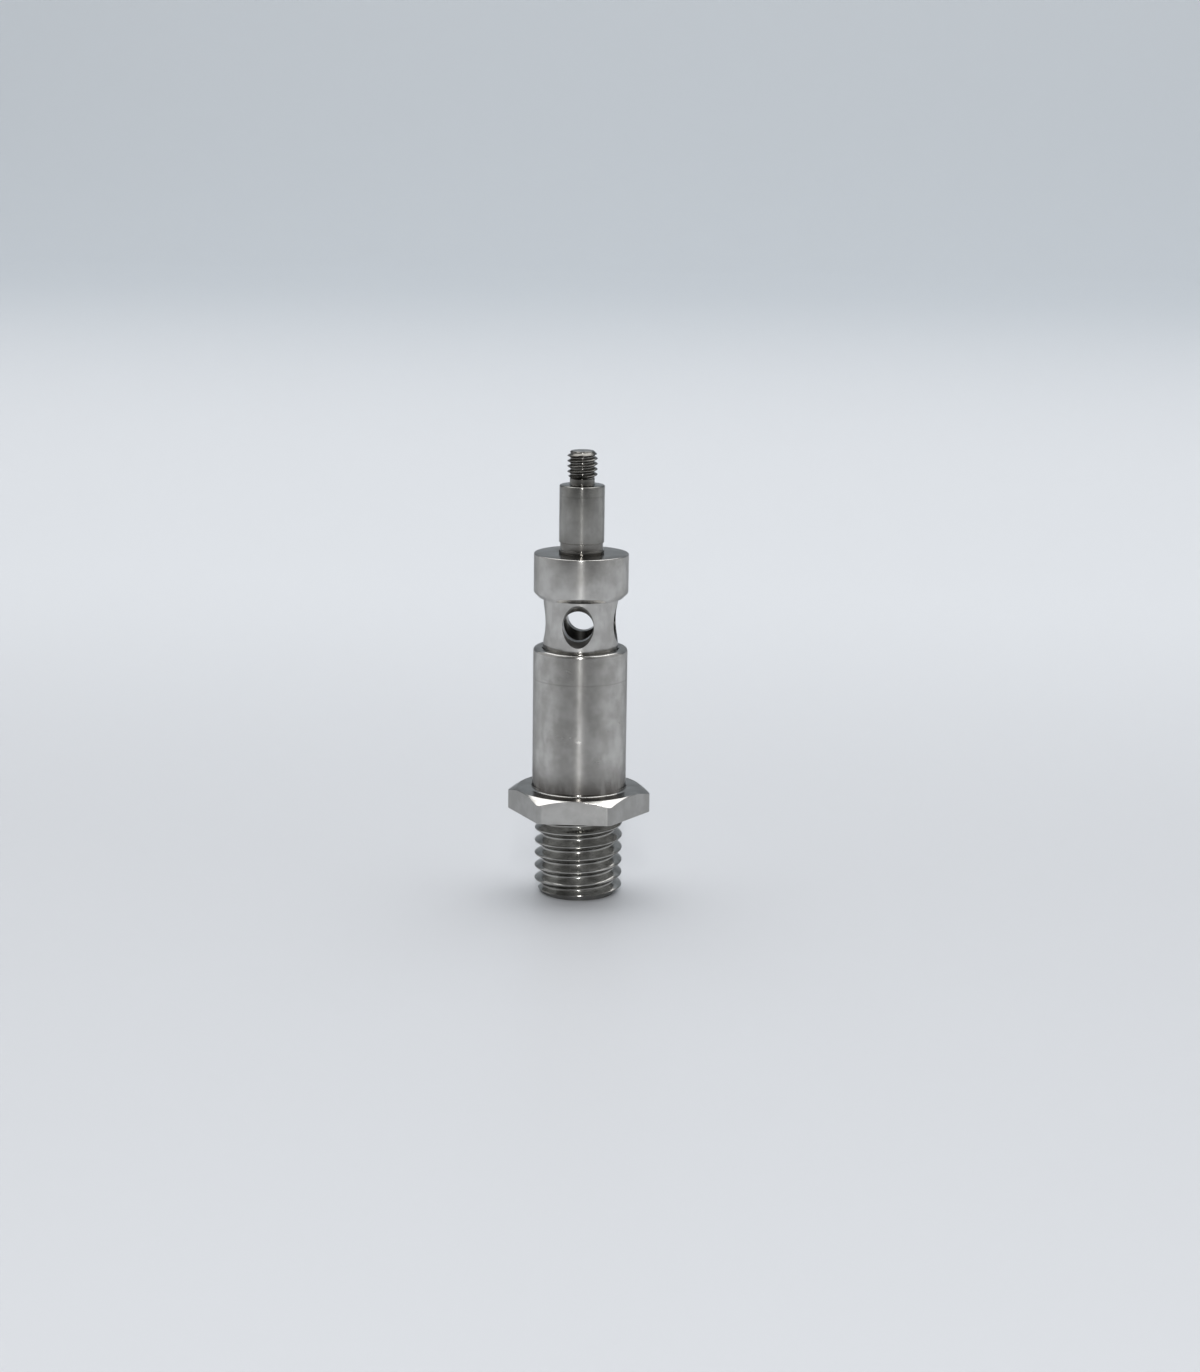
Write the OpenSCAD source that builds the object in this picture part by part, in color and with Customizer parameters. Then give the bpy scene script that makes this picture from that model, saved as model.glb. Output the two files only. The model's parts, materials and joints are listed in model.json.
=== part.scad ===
// Adjustable spring-loaded pressure relief valve: the head screws in the barrel to set the spring.
// It stands on the lower end of its inlet thread, with +Z up along the axis. Millimetres.

/* [Inlet body] */
// Nominal diameter of the inlet thread, which sets the size of the whole valve
inlet_thread_d = 12; // [10:0.5:15]
// Length from the lower end to the underside of the hex
inlet_thread_len = 11.4; // [9:0.2:20]
// Pitch of the inlet thread
inlet_pitch = 1.75; // [1:0.25:2]
// Width of the hex across its flats
hex_af = 16.8; // [14:0.1:24]
// Height of the hex
hex_h = 3.2; // [2.4:0.1:8]
// How far the corners of the hex are turned down
corner_turn = 0.14; // [0.05:0.01:0.5]
// Angle of the turned top of the hex
hex_slope = 30; // [15:1:40]
// How much wider the barrel is than the inlet thread
barrel_over = 0.6; // [0:0.1:1]
// Length of the barrel above the hex
barrel_len = 19.2; // [16:0.2:30]
// Wall of the barrel round the vent head
barrel_wall = 1.26; // [1:0.02:1.6]
// Radius of the rounded top edge of the barrel
barrel_round = 0.45; // [0.1:0.05:0.6]
// Radius of the fillet where the barrel meets the hex
base_fillet = 0.4; // [0.1:0.05:0.6]

/* [Seat and poppet] */
// Metal between the seat nozzle and the root of the inlet thread
nozzle_wall = 1.43; // [0.8:0.01:1.8]
// Wall thickness of the seat nozzle
nozzle_thick = 1.2; // [0.9:0.05:1.5]
// Width of the ledge that the seat nozzle stands on
nozzle_ledge = 1; // [0.5:0.05:1.3]
// Depth that the seat nozzle is pressed in
nozzle_press = 3.2; // [2:0.1:6]
// Height of the chamber floor above the underside of the hex
floor_rise = 0.6; // [0.4:0.1:2]
// Height of the seat lip above the chamber floor
lip_h = 1; // [0.5:0.1:2]
// Width of the flat top of the seat lip
lip_w = 0.5; // [0.3:0.05:0.7]
// How far the soft seal reaches past the seat lip
seal_margin = 0.75; // [0.4:0.05:0.9]
// Thickness of the soft seal disc
seal_t = 1; // [0.8:0.1:1.4]
// How far the soft seal stands out of the poppet
seal_proud = 0.3; // [0.2:0.05:0.5]
// Length of the guiding land of the poppet
poppet_land = 2.7; // [2:0.1:4]
// Number of flow flutes round the poppet
flutes = 6; // [3:1:6]
// Diameter of the cutter that makes the flutes
flute_d = 2.4; // [1.6:0.1:3]
// Wall left between the flutes and the soft seal
flute_wall = 0.1; // [0.05:0.01:0.3]
// Gap between the seal washer and the nozzle bore
washer_gap = 0.4; // [0.2:0.05:0.6]
// Thickness of the washer under the seal screw
washer_t = 0.4; // [0.3:0.05:0.6]
// How far the washer shows past the screw head
washer_step = 0.3; // [0.1:0.05:0.4]
// Head of the seal screw as a multiple of its thread
screw_ratio = 1.6; // [1.5:0.1:2]
// Head height of the seal screw
screw_head_h = 0.8; // [0.6:0.1:1]

/* [Spring] */
// Wire diameter of the spring
wire_d = 0.8; // [0.5:0.02:1]
// Distance from coil to coil as fitted
coil_pitch = 1.6; // [1.2:0.05:3]
// Radial gap on each side of the spring
spring_gap = 0.25; // [0.15:0.01:0.4]
// Length of the spigots that centre the spring
spigot_len = 1.8; // [1:0.1:2.2]
// Wall of the spring plate round its bore
plate_wall = 0.8; // [0.5:0.05:1.2]
// Thickness of the spring plate
plate_t = 1; // [0.8:0.1:1.6]
// Thickness of the thrust washer
thrust_t = 0.5; // [0.3:0.05:0.8]

/* [Vent head] */
// Radial step from the adjusting thread down to the chamber
thread_step = 0.68; // [0.6:0.02:1]
// Pitch of the adjusting thread
head_pitch = 1; // [0.5:0.25:1]
// Length of the adjusting thread
head_thread_len = 4; // [3:0.1:6]
// Plain length between the adjusting thread and the O-ring
thread_gap = 0.6; // [0.4:0.1:2]
// Wall of the neck
head_wall = 1.78; // [1.4:0.02:2.4]
// Diameter of each vent port
port_d = 4.1; // [2.5:0.1:5]
// Number of vent ports
ports = 4; // [2:1:4]
// Depth of the countersink round each port
port_sink = 0.46; // [0.1:0.02:0.6]
// Neck left above the barrel and under the ports with the head screwed right in
port_low_gap = 0.25; // [0.2:0.05:3]
// Neck left between the countersinks and the cap
port_top_gap = 0.4; // [0.1:0.1:6]
// Height of the cap
cap_h = 5.9; // [4.4:0.1:12]
// Chamfer under the cap
cap_chamfer = 0.7; // [0.2:0.05:1]
// Chamfer on top of the cap
cap_edge = 0.15; // [0.05:0.05:0.4]
// Thickness of the web between the head bore and the stem socket
web_t = 1.2; // [0.8:0.1:1.6]
// Section diameter of the O-ring
ring_section = 1; // [0.8:0.05:1.2]
// Share of the section that the O-ring is squeezed by
ring_squeeze = 0.2; // [0.1:0.01:0.3]
// Diameter of the nylon locking pellet
pellet_d = 1.5; // [1:0.1:2]
// Metal left behind the nylon locking pellet
pellet_floor = 0.66; // [0.3:0.02:0.9]
// How far the head can be screwed in from here
screw_in = 1.25; // [0.5:0.05:1.8]
// How far the head can be screwed out from here
screw_out = 1; // [0.5:0.1:1.5]

/* [Stem] */
// Diameter of the stem
stem_d = 6; // [5:0.1:8]
// Length of the stem above the cap
stem_len = 9.1; // [6:0.1:16]
// How much thinner the part pressed into the cap is than the stem
shank_step = 2.4; // [1.6:0.1:3]
// Depth of the groove near the foot of the stem
groove_depth = 0.16; // [0.05:0.01:0.4]
// Height of that groove
groove_h = 1; // [0.5:0.1:2]
// Height of the ring below that groove
foot_h = 0.5; // [0.3:0.1:1.5]
// Nominal diameter of the top stud
stud_d = 4; // [3:0.5:5]
// Pitch of the top stud
stud_pitch = 0.7; // [0.5:0.05:0.8]
// Length of the top stud
stud_len = 4.5; // [3:0.1:12]

/* [Hidden] */
$fn = 96;
// Radial clearances and small steps
run_gap = 0.06;
slide_gap = 0.08;
seat_gap = 0.02;
edge = 0.2;
lead = 0.5;
eps = 0.01;
// Depth of an external metric thread as a share of its pitch
thread_depth = 0.6134;
// Angle between a port's axis and the side of its countersink
sink_slope = 60;

// Levels up the axis, from the lower end
hex_z = inlet_thread_len;
barrel_z = hex_z + hex_h;
mouth_z = barrel_z + barrel_len;
floor_z = hex_z + floor_rise;
nozzle_z = floor_z - nozzle_press;
seat_z = floor_z + lip_h;
recess_z = seat_z + seal_t;
spring_z = seat_z + seal_proud + poppet_land;

// Levels of the vent head, which hang from the barrel's mouth
ring_h = ring_section * (1 + ring_squeeze / 2);
ring_z = mouth_z - screw_out - edge - lead - ring_h;
groove_z = ring_z - edge / 2;
groove_top_z = ring_z + ring_h + edge / 2;
thread_end_z = ring_z - thread_gap;
skirt_z = thread_end_z - head_thread_len;
thrust_z = skirt_z - thrust_t;
plate_z = thrust_z - plate_t;
female_z = skirt_z - screw_in - lead;
pellet_z = skirt_z + head_thread_len / 2;
port_rise = screw_in + port_low_gap + port_d / 2;
port_z = mouth_z + port_rise;
sink_w = port_sink * tan(sink_slope);
cap_z = port_z + port_d / 2 + sink_w + port_top_gap;
bore_top_z = cap_z + edge;
socket_z = bore_top_z + web_t;
stem_z = cap_z + cap_h;
stud_z = stem_z + stem_len;
top_z = stud_z + stud_len;

// Radii of the body and the vent head
thread_r = inlet_thread_d / 2;
thread_root_r = thread_r - thread_depth * inlet_pitch;
hex_corner_r = hex_af / sqrt(3) - corner_turn;
hex_top_r = hex_af / 2 - edge / 2;
barrel_r = thread_r + barrel_over / 2;
mouth_r = barrel_r - barrel_wall;
neck_r = mouth_r - run_gap;
head_bore_r = neck_r - head_wall;
ring_w = ring_section * (1 - ring_squeeze);
groove_floor_r = mouth_r - seat_gap - ring_w;
pellet_in_r = head_bore_r + pellet_floor;
pellet_len = neck_r - seat_gap - pellet_in_r;

// Radii of the seat, the poppet and the spring
nozzle_r = thread_root_r - nozzle_wall;
nozzle_bore_r = nozzle_r - nozzle_thick;
inlet_bore_r = nozzle_r - nozzle_ledge;
lip_r = nozzle_bore_r + lip_w;
seal_r = lip_r + seal_margin;
washer_r = nozzle_bore_r - washer_gap;
screw_head_r = washer_r - washer_step;
screw_r = screw_head_r / screw_ratio;
chamber_r = neck_r - thread_step;
poppet_r = chamber_r - slide_gap;
plate_r = chamber_r - spring_gap / 2;
coil_r = chamber_r - spring_gap - wire_d / 2;
spigot_r = coil_r - wire_d / 2 - spring_gap;
plate_bore_r = spigot_r - plate_wall;

// Turns of the spring: one closed turn at each end, and open ones between them
spring_low_z = spring_z + wire_d / 2 + seat_gap;
spring_top_z = plate_z - wire_d / 2 - seat_gap;
working_coils = (spring_top_z - spring_low_z - 2 * wire_d) / coil_pitch;

// Solid of revolution from a list of [radius, height] points
module turned(points) {
    rotate_extrude() polygon(points);
}

// Plain cylinder between two levels
module bar(r, z0, z1) {
    translate([0, 0, z0]) cylinder(r = r, h = z1 - z0);
}

// Cone between two levels
module taper(r0, r1, z0, z1) {
    translate([0, 0, z0]) cylinder(r1 = r0, r2 = r1, h = z1 - z0);
}

// Quarter arc of points about a centre, from one angle to another
function arc(r, z, rad, a0, a1, steps = 6) =
    [for (i = [0 : steps]) [r + rad * cos(a0 + (a1 - a0) * i / steps),
                            z + rad * sin(a0 + (a1 - a0) * i / steps)]];

// Hexagon bar with turned corners and a sloping turned top
module hex_collar() {
    slope_h = (hex_corner_r - hex_top_r) * tan(hex_slope);
    intersection() {
        translate([0, 0, hex_z])
            cylinder(d = hex_af / cos(30), h = hex_h, $fn = 6);
        rotate([0, 0, 15])
            turned([[0, hex_z - lead], [hex_corner_r, hex_z - lead], [hex_corner_r, barrel_z - slope_h],
                [hex_top_r, barrel_z], [hex_top_r, barrel_z + lead], [0, barrel_z + lead]]);
    }
}

module inlet_body() {
    relief_z = hex_z - inlet_pitch / 2;
    color([0.62, 0.61, 0.59])
    difference() {
        union() {
            taper(thread_root_r, thread_r, 0, thread_r - thread_root_r);
            bar(thread_r, thread_r - thread_root_r, relief_z);
            bar(thread_root_r, relief_z, hex_z);
            taper(thread_root_r, thread_r + run_gap, hex_z - edge, hex_z);
            hex_collar();
            turned(concat([[0, barrel_z - lead], [barrel_r + base_fillet, barrel_z - lead]],
                arc(barrel_r + base_fillet, barrel_z + base_fillet, base_fillet, 270, 180),
                arc(barrel_r - barrel_round, mouth_z - barrel_round, barrel_round, 0, 90),
                [[0, mouth_z]]));
        }
        bar(inlet_bore_r, -eps, nozzle_z + eps);
        taper(inlet_bore_r + lead, inlet_bore_r, -eps, lead);
        bar(nozzle_r, nozzle_z, floor_z + eps);
        bar(chamber_r, floor_z, female_z + eps);
        bar(mouth_r, female_z, mouth_z + eps);
        taper(mouth_r, mouth_r + edge, mouth_z - edge, mouth_z + eps);
    }
}

module seat_nozzle() {
    color([0.72, 0.71, 0.69])
    difference() {
        turned([[0, nozzle_z], [nozzle_r - edge, nozzle_z], [nozzle_r, nozzle_z + edge],
            [nozzle_r, floor_z], [lip_r, seat_z], [0, seat_z]]);
        bar(nozzle_bore_r, nozzle_z - eps, seat_z + eps);
        taper(inlet_bore_r, nozzle_bore_r, nozzle_z - eps, nozzle_z + lead);
    }
}

module poppet() {
    flute_r = flute_d / 2;
    face_z = seat_z + seal_proud;
    spigot_top_z = spring_z + spigot_len;
    color([0.66, 0.65, 0.63])
    difference() {
        union() {
            taper(poppet_r - edge, poppet_r, face_z, face_z + edge);
            bar(poppet_r, face_z + edge, spring_z);
            bar(spigot_r, spring_z, spigot_top_z - edge);
            taper(spigot_r, spigot_r - edge, spigot_top_z - edge, spigot_top_z);
        }
        bar(seal_r, face_z - eps, recess_z);
        bar(screw_r, recess_z - eps, spring_z + edge);
        for (i = [0 : flutes - 1])
            rotate([0, 0, 360 / flutes * (i + 0.5)])
                translate([seal_r + flute_wall + flute_r, 0, face_z - eps])
                    cylinder(r = flute_r, h = poppet_land + 2 * eps);
    }
}

module seal_disc() {
    color([0.13, 0.13, 0.13])
    difference() {
        bar(seal_r - seat_gap, seat_z, recess_z);
        bar(screw_r + seat_gap, seat_z - eps, recess_z + eps);
    }
}

module seal_washer() {
    color([0.75, 0.74, 0.72])
    difference() {
        bar(washer_r, seat_z - washer_t, seat_z);
        bar(screw_r + seat_gap, seat_z - washer_t - eps, seat_z + eps);
    }
}

module seal_screw() {
    head_z = seat_z - washer_t - screw_head_h;
    slot_w = screw_r / 2;
    color([0.7, 0.7, 0.68])
    difference() {
        union() {
            taper(screw_head_r - edge, screw_head_r, head_z, head_z + edge);
            bar(screw_head_r, head_z + edge, seat_z - washer_t);
            bar(screw_r, seat_z - washer_t - eps, spring_z);
        }
        translate([-2 * screw_head_r, -slot_w / 2, head_z - eps])
            cube([4 * screw_head_r, slot_w, screw_head_h / 2]);
    }
}

// Height of the wire centre after some turns
function coil_z(t) =
    t < 1 ? spring_low_z + wire_d * t
    : t < 1 + working_coils ? spring_low_z + wire_d + coil_pitch * (t - 1)
    : spring_low_z + wire_d + coil_pitch * working_coils + wire_d * (t - 1 - working_coils);

module spring() {
    sides = 10;
    turns = working_coils + 2;
    count = round(turns * 20);
    points = [for (i = [0 : count]) for (j = [0 : sides - 1])
        let (t = turns * i / count, b = 360 * j / sides, r = coil_r + wire_d / 2 * cos(b))
            [r * cos(360 * t), r * sin(360 * t), coil_z(t) + wire_d / 2 * sin(b)]];
    walls = [for (i = [0 : count - 1]) for (j = [0 : sides - 1])
        let (k = (j + 1) % sides)
            [i * sides + j, i * sides + k, (i + 1) * sides + k, (i + 1) * sides + j]];
    start_cap = [[for (j = [sides - 1 : -1 : 0]) j]];
    end_cap = [[for (j = [0 : sides - 1]) count * sides + j]];
    color([0.5, 0.5, 0.5])
        polyhedron(points, concat(walls, start_cap, end_cap), convexity = 10);
}

module spring_plate() {
    spigot_z = plate_z - spigot_len;
    color([0.68, 0.67, 0.65])
    difference() {
        union() {
            bar(plate_r, plate_z, thrust_z);
            taper(spigot_r - edge, spigot_r, spigot_z, spigot_z + edge);
            bar(spigot_r, spigot_z + edge, plate_z + eps);
        }
        bar(plate_bore_r, spigot_z - eps, thrust_z + eps);
    }
}

module thrust_washer() {
    color([0.72, 0.6, 0.36])
    difference() {
        bar(plate_r, thrust_z, skirt_z);
        bar(plate_bore_r + edge, thrust_z - eps, skirt_z + eps);
    }
}

// Vent port bored from the axis outwards, with its chamfer
module port() {
    translate([0, 0, port_z]) rotate([90, 0, 0]) {
        cylinder(d = port_d, h = neck_r + 1);
        translate([0, 0, neck_r - port_sink])
            cylinder(r1 = port_d / 2, r2 = port_d / 2 + sink_w, h = port_sink);
    }
}

module vent_head() {
    relief_r = neck_r - thread_depth * head_pitch;
    relief_z = thread_end_z - head_pitch / 2;
    color([0.62, 0.61, 0.59])
    difference() {
        union() {
            taper(relief_r, neck_r, skirt_z, skirt_z + neck_r - relief_r);
            bar(neck_r, skirt_z + neck_r - relief_r, relief_z);
            bar(relief_r, relief_z - eps, thread_end_z + eps);
            bar(neck_r, thread_end_z, cap_z + eps);
            turned([[0, cap_z], [barrel_r - cap_chamfer, cap_z], [barrel_r, cap_z + cap_chamfer],
                [barrel_r, stem_z - cap_edge], [barrel_r - cap_edge, stem_z], [0, stem_z]]);
        }
        bar(head_bore_r, skirt_z - eps, bore_top_z);
        bar((stem_d - shank_step) / 2, socket_z, stem_z + eps);
        difference() {
            bar(barrel_r, groove_z, groove_top_z);
            bar(groove_floor_r, groove_z - edge, groove_top_z + edge);
        }
        for (i = [0 : ports - 1])
            rotate([0, 0, 360 / ports * i]) port();
        translate([pellet_in_r, 0, pellet_z]) rotate([0, 90, 0])
            cylinder(d = pellet_d, h = neck_r);
    }
}

module head_o_ring() {
    mid_r = groove_floor_r + ring_w / 2;
    flat_h = ring_h - ring_w;
    color([0.09, 0.09, 0.09])
    translate([0, 0, ring_z])
    rotate_extrude() {
        translate([mid_r, ring_w / 2]) circle(d = ring_w, $fn = 32);
        translate([mid_r, ring_w / 2 + flat_h]) circle(d = ring_w, $fn = 32);
        translate([groove_floor_r, ring_w / 2]) square([ring_w, flat_h]);
    }
}

module locking_pellet() {
    color([0.93, 0.92, 0.86])
    translate([pellet_in_r, 0, pellet_z]) rotate([0, 90, 0])
        cylinder(d = pellet_d, h = pellet_len);
}

module stem() {
    stem_r = stem_d / 2;
    shank_r = stem_r - shank_step / 2;
    low_r = stem_r - groove_depth;
    stud_r = stud_d / 2;
    stud_root_r = stud_r - thread_depth * stud_pitch;
    stem_groove_z = stem_z + foot_h;
    color([0.62, 0.61, 0.59])
    turned([[0, socket_z], [shank_r - edge, socket_z], [shank_r, socket_z + edge],
        [shank_r, stem_z], [stem_r, stem_z], [stem_r, stem_groove_z],
        [low_r, stem_groove_z], [low_r, stem_groove_z + groove_h],
        [stem_r, stem_groove_z + groove_h], [stem_r, stud_z - edge], [stem_r - edge, stud_z],
        [stud_root_r, stud_z], [stud_root_r, stud_z + stud_pitch],
        [stud_r, stud_z + stud_pitch], [stud_r, top_z - lead], [stud_r - lead, top_z], [0, top_z]]);
}

inlet_body();
seat_nozzle();
poppet();
seal_disc();
seal_washer();
seal_screw();
spring();
spring_plate();
thrust_washer();
vent_head();
head_o_ring();
locking_pellet();
stem();
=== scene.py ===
import bpy, bmesh, json
from math import sin, cos, tan, pi, radians, degrees, sqrt
from mathutils import Matrix, Vector


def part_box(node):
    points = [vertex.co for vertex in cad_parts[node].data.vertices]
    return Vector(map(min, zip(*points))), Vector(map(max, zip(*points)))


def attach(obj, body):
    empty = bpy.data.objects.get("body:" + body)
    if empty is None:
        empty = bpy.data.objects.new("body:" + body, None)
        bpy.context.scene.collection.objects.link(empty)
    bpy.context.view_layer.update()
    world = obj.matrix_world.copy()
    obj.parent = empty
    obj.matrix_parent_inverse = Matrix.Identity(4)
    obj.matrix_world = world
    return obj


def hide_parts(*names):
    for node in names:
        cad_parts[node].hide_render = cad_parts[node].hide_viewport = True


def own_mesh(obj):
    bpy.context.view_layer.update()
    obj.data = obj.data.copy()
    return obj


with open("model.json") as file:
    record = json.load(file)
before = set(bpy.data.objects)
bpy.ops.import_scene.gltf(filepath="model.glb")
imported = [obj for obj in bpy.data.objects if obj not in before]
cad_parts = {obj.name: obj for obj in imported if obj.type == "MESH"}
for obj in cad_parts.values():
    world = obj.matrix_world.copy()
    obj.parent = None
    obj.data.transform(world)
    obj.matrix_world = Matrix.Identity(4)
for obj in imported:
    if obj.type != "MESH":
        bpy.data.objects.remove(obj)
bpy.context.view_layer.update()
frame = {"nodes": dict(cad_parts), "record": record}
mm = 0.001
print("frame loaded:", len(frame["nodes"]), "nodes")


def low(node):
    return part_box(node)[0][2] / mm      # lowest level of a CAD node, mm


def high(node):
    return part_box(node)[1][2] / mm


class Wire:
    # a node's output that can be used in sums, such as 1 - mask * 0.3
    def __init__(self, graph, socket):
        self.graph, self.socket = graph, socket

    def sum(self, operation, *values):
        return self.graph.node("ShaderNodeMath", {"operation": operation}, dict(enumerate(values)))

    def __add__(self, other):
        return self.sum("ADD", self, other)

    def __sub__(self, other):
        return self.sum("SUBTRACT", self, other)

    def __mul__(self, other):
        return self.sum("MULTIPLY", self, other)

    def __truediv__(self, other):
        return self.sum("DIVIDE", self, other)

    def __rsub__(self, other):
        return self.sum("SUBTRACT", other, self)

    __radd__, __rmul__ = __add__, __mul__

    def floor(self):
        return self.sum("FLOOR", self)

    def ceil(self):
        return self.sum("CEIL", self)

    def fract(self):
        return self.sum("FRACT", self)

    def abs(self):
        return self.sum("ABSOLUTE", self)

    def sin(self):
        return self.sum("SINE", self)

    def cos(self):
        return self.sum("COSINE", self)

    def root(self):
        return self.sum("SQRT", self)

    def least(self, other):
        return self.sum("MINIMUM", self, other)

    def most(self, other):
        return self.sum("MAXIMUM", self, other)

    def over(self, other):
        return self.sum("GREATER_THAN", self, other)

    def ramp(self, start, end):
        # 0 below start, 1 above end, smooth between them
        settings = {"interpolation_type": "SMOOTHSTEP"}
        return self.graph.node("ShaderNodeMapRange", settings, {0: self, 1: start, 2: end})


class Graph:
    def __init__(self, tree):
        self.tree = tree

    def feed(self, socket, value):
        if isinstance(value, Wire):
            self.tree.links.new(value.socket, socket)
        else:
            socket.default_value = value

    # settings are set first, because they can change the sockets
    def node(self, kind, settings=None, values=None, out=0):
        made = self.tree.nodes.new(kind)
        for name, value in (settings or {}).items():
            setattr(made, name, value)
        for key, value in (values or {}).items():
            self.feed(made.inputs[key], value)
        return Wire(self, made.outputs[out]) if made.outputs else made

    def parts(self, vector):
        split = self.tree.nodes.new("ShaderNodeSeparateXYZ")
        self.feed(split.inputs[0], vector)
        return [Wire(self, socket) for socket in split.outputs]

    def vector(self, x, y, z):
        return self.node("ShaderNodeCombineXYZ", {}, {0: x, 1: y, 2: z})

    def blend(self, factor, first, second):
        settings = {"data_type": "RGBA"}
        return self.node("ShaderNodeMix", settings, {0: factor, 6: first, 7: second}, out=2)

    def noise(self, vector, scale, detail=2.0, roughness=0.5):
        values = {"Vector": vector, "Scale": scale, "Detail": detail, "Roughness": roughness}
        return self.node("ShaderNodeTexNoise", {}, values)


def startMaterial(name):
    material = bpy.data.materials.new(name)
    material.use_nodes = True
    material.node_tree.nodes.clear()
    return material, Graph(material.node_tree)


def finishMaterial(graph, links, constants):
    shader = graph.tree.nodes.new("ShaderNodeBsdfPrincipled")
    for name, value in {**links, **constants}.items():
        graph.feed(shader.inputs[name], value)
    output = graph.tree.nodes.new("ShaderNodeOutputMaterial")
    graph.tree.links.new(shader.outputs[0], output.inputs[0])


# the turned finishes: levels, marks and depths in mm, and how light each is where bright or dull; the foot
# levels and strength set the painted shade and dark reflection at each part's foot
turnedLook = dict(bright=(0.58, 0.57, 0.55, 1), dull=(0.44, 0.43, 0.41, 1), rough=0.19,
                  roughSpread=0.08, anisotropy=0.6, ringsPerMm=4.0, ringDepth=0.0005,
                  footShadeLow=14.7, footShadeHigh=19.0, footShade=0.95, ringMark=29.7, edgeTint=(0.5, 0.5, 0.5, 1))
stemLook = dict(bright=(0.36, 0.355, 0.335, 1), dull=(0.27, 0.265, 0.25, 1), rough=0.16,
                roughSpread=0.07, anisotropy=0.55, ringsPerMm=5.0, ringDepth=0.0004,
                footShadeLow=46.6, footShadeHigh=50.2, footShade=0.8, ringMark=54.2, edgeTint=(0.6, 0.6, 0.6, 1))
threadLook = dict(bright=(0.46, 0.455, 0.435, 1), dull=(0.29, 0.285, 0.27, 1), rough=0.17,
                  roughSpread=0.08, anisotropy=0.3, ringsPerMm=6.0, ringDepth=0.0004,
                  footShadeLow=0.1, footShadeHigh=2.6, footShade=0.6, ringMark=11.0, edgeTint=(0.6, 0.6, 0.6, 1))

studLook = dict(threadLook, bright=(0.24, 0.235, 0.22, 1), dull=(0.13, 0.125, 0.115, 1))
# the drilled port faces: a darker copy of the thread finish, painted shade inside the holes and on their
# countersinks
portShadeLook = dict(threadLook, bright=(0.2, 0.195, 0.185, 1), dull=(0.11, 0.107, 0.1, 1), anisotropy=0.0)


# marks and painted shade that all the turned finishes share; scales are per mm, and a range runs from none
# to full
wear = dict(grainSqueeze=0.08, waveSqueeze=0.12, wavesPerMm=0.8, stainScale=0.42, smearScale=0.75,
            smearStretch=0.35, scratchScale=2.2, scratchRange=(0.72, 0.76), wornRange=(0.36, 0.64),
            shadePatchRange=(0.3, 0.6), shadePatchShare=0.4, ringWidth=(0.02, 0.14), shadeAndMarkColour=(0.12, 0.11, 0.10, 1))


# bright turned steel with faint tool marks, stains and a few scratches, and painted shade at its foot
def turnedSteel(name, look):
    material, graph = startMaterial(name)
    place = graph.node("ShaderNodeTexCoord", out=3)
    body = graph.node("ShaderNodeVectorMath", {"operation": "SCALE"}, {0: place, 3: 1 / mm})
    x, y, z = graph.parts(body)
    upness = graph.parts(graph.node("ShaderNodeTexCoord", out=1))[2].abs().ramp(0.6, 0.8)
    radius = (x * x + y * y).root()
    # tool marks run round the part: along z on the sides and outwards on the end faces
    along = z * (1 - upness) + radius * upness
    squeeze, wave = wear["grainSqueeze"], wear["waveSqueeze"]
    fine = graph.noise(graph.vector(x * squeeze, y * squeeze, along * look["ringsPerMm"]), 1.0, 3.0, 0.6)
    wide = graph.noise(graph.vector(x * wave, y * wave, along * wear["wavesPerMm"]), 1.0, 2.0)
    stain = graph.noise(body, wear["stainScale"], 3.0, 0.55)
    smear = graph.noise(graph.vector(x, y, z * wear["smearStretch"]), wear["smearScale"], 4.0, 0.6)
    scratchPlace = graph.vector(x * 0.35 + z * 0.9, y * 0.35 - z * 0.4, z * 0.2 - x * 0.1)
    scratch = graph.noise(scratchPlace, wear["scratchScale"], 1.0).ramp(*wear["scratchRange"])
    worn = (stain * 0.6 + smear * 0.4).ramp(*wear["wornRange"])
    # painted shade and dark reflection at the foot of the part, in patches, and one ring where the tool
    # was changed
    foot = z.ramp(look["footShadeHigh"], look["footShadeLow"]) * z.over(look["footShadeLow"] - 0.2) * (1 - upness)
    shadePatches = smear.ramp(*wear["shadePatchRange"]) * wear["shadePatchShare"] + (1 - wear["shadePatchShare"])
    footShade = foot * shadePatches * look["footShade"]
    mark = 1 - (z - look["ringMark"]).abs().ramp(*wear["ringWidth"])
    colour = graph.blend(worn * (1 - mark * 0.5), look["dull"], look["bright"])
    # the painted shade at the foot and the real ring mark both blend towards this one dark colour
    colour = graph.blend(footShade + mark * 0.12, colour, wear["shadeAndMarkColour"])
    rough = look["rough"] + (fine - 0.5) * look["roughSpread"] * 0.6 \
        + (0.52 - stain) * look["roughSpread"] + (smear - 0.5) * 0.05 + scratch * 0.08
    height = fine * 0.6 + wide * 0.5 - scratch * 0.4
    bump = graph.node("ShaderNodeBump", {}, {"Strength": 1.0, "Distance": look["ringDepth"] * mm,
                                             "Height": height})
    finishMaterial(graph, {"Base Color": colour, "Roughness": rough, "Normal": bump},
                   {"Metallic": 1.0, "Anisotropic": look["anisotropy"], "Anisotropic Rotation": 0.25,
                    "Specular Tint": look["edgeTint"]})
    return material


flatLook = dict(bright=(0.44, 0.435, 0.42, 1), dull=(0.37, 0.365, 0.35, 1), rough=0.22,
                cloudScale=0.4, cloudRange=(0.35, 0.65), cloudRough=0.1, grainScale=9.0,
                grainStretch=0.35, grainRough=0.08, grainDepth=0.0004, edgeTint=(0.7, 0.7, 0.7, 1))


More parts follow.
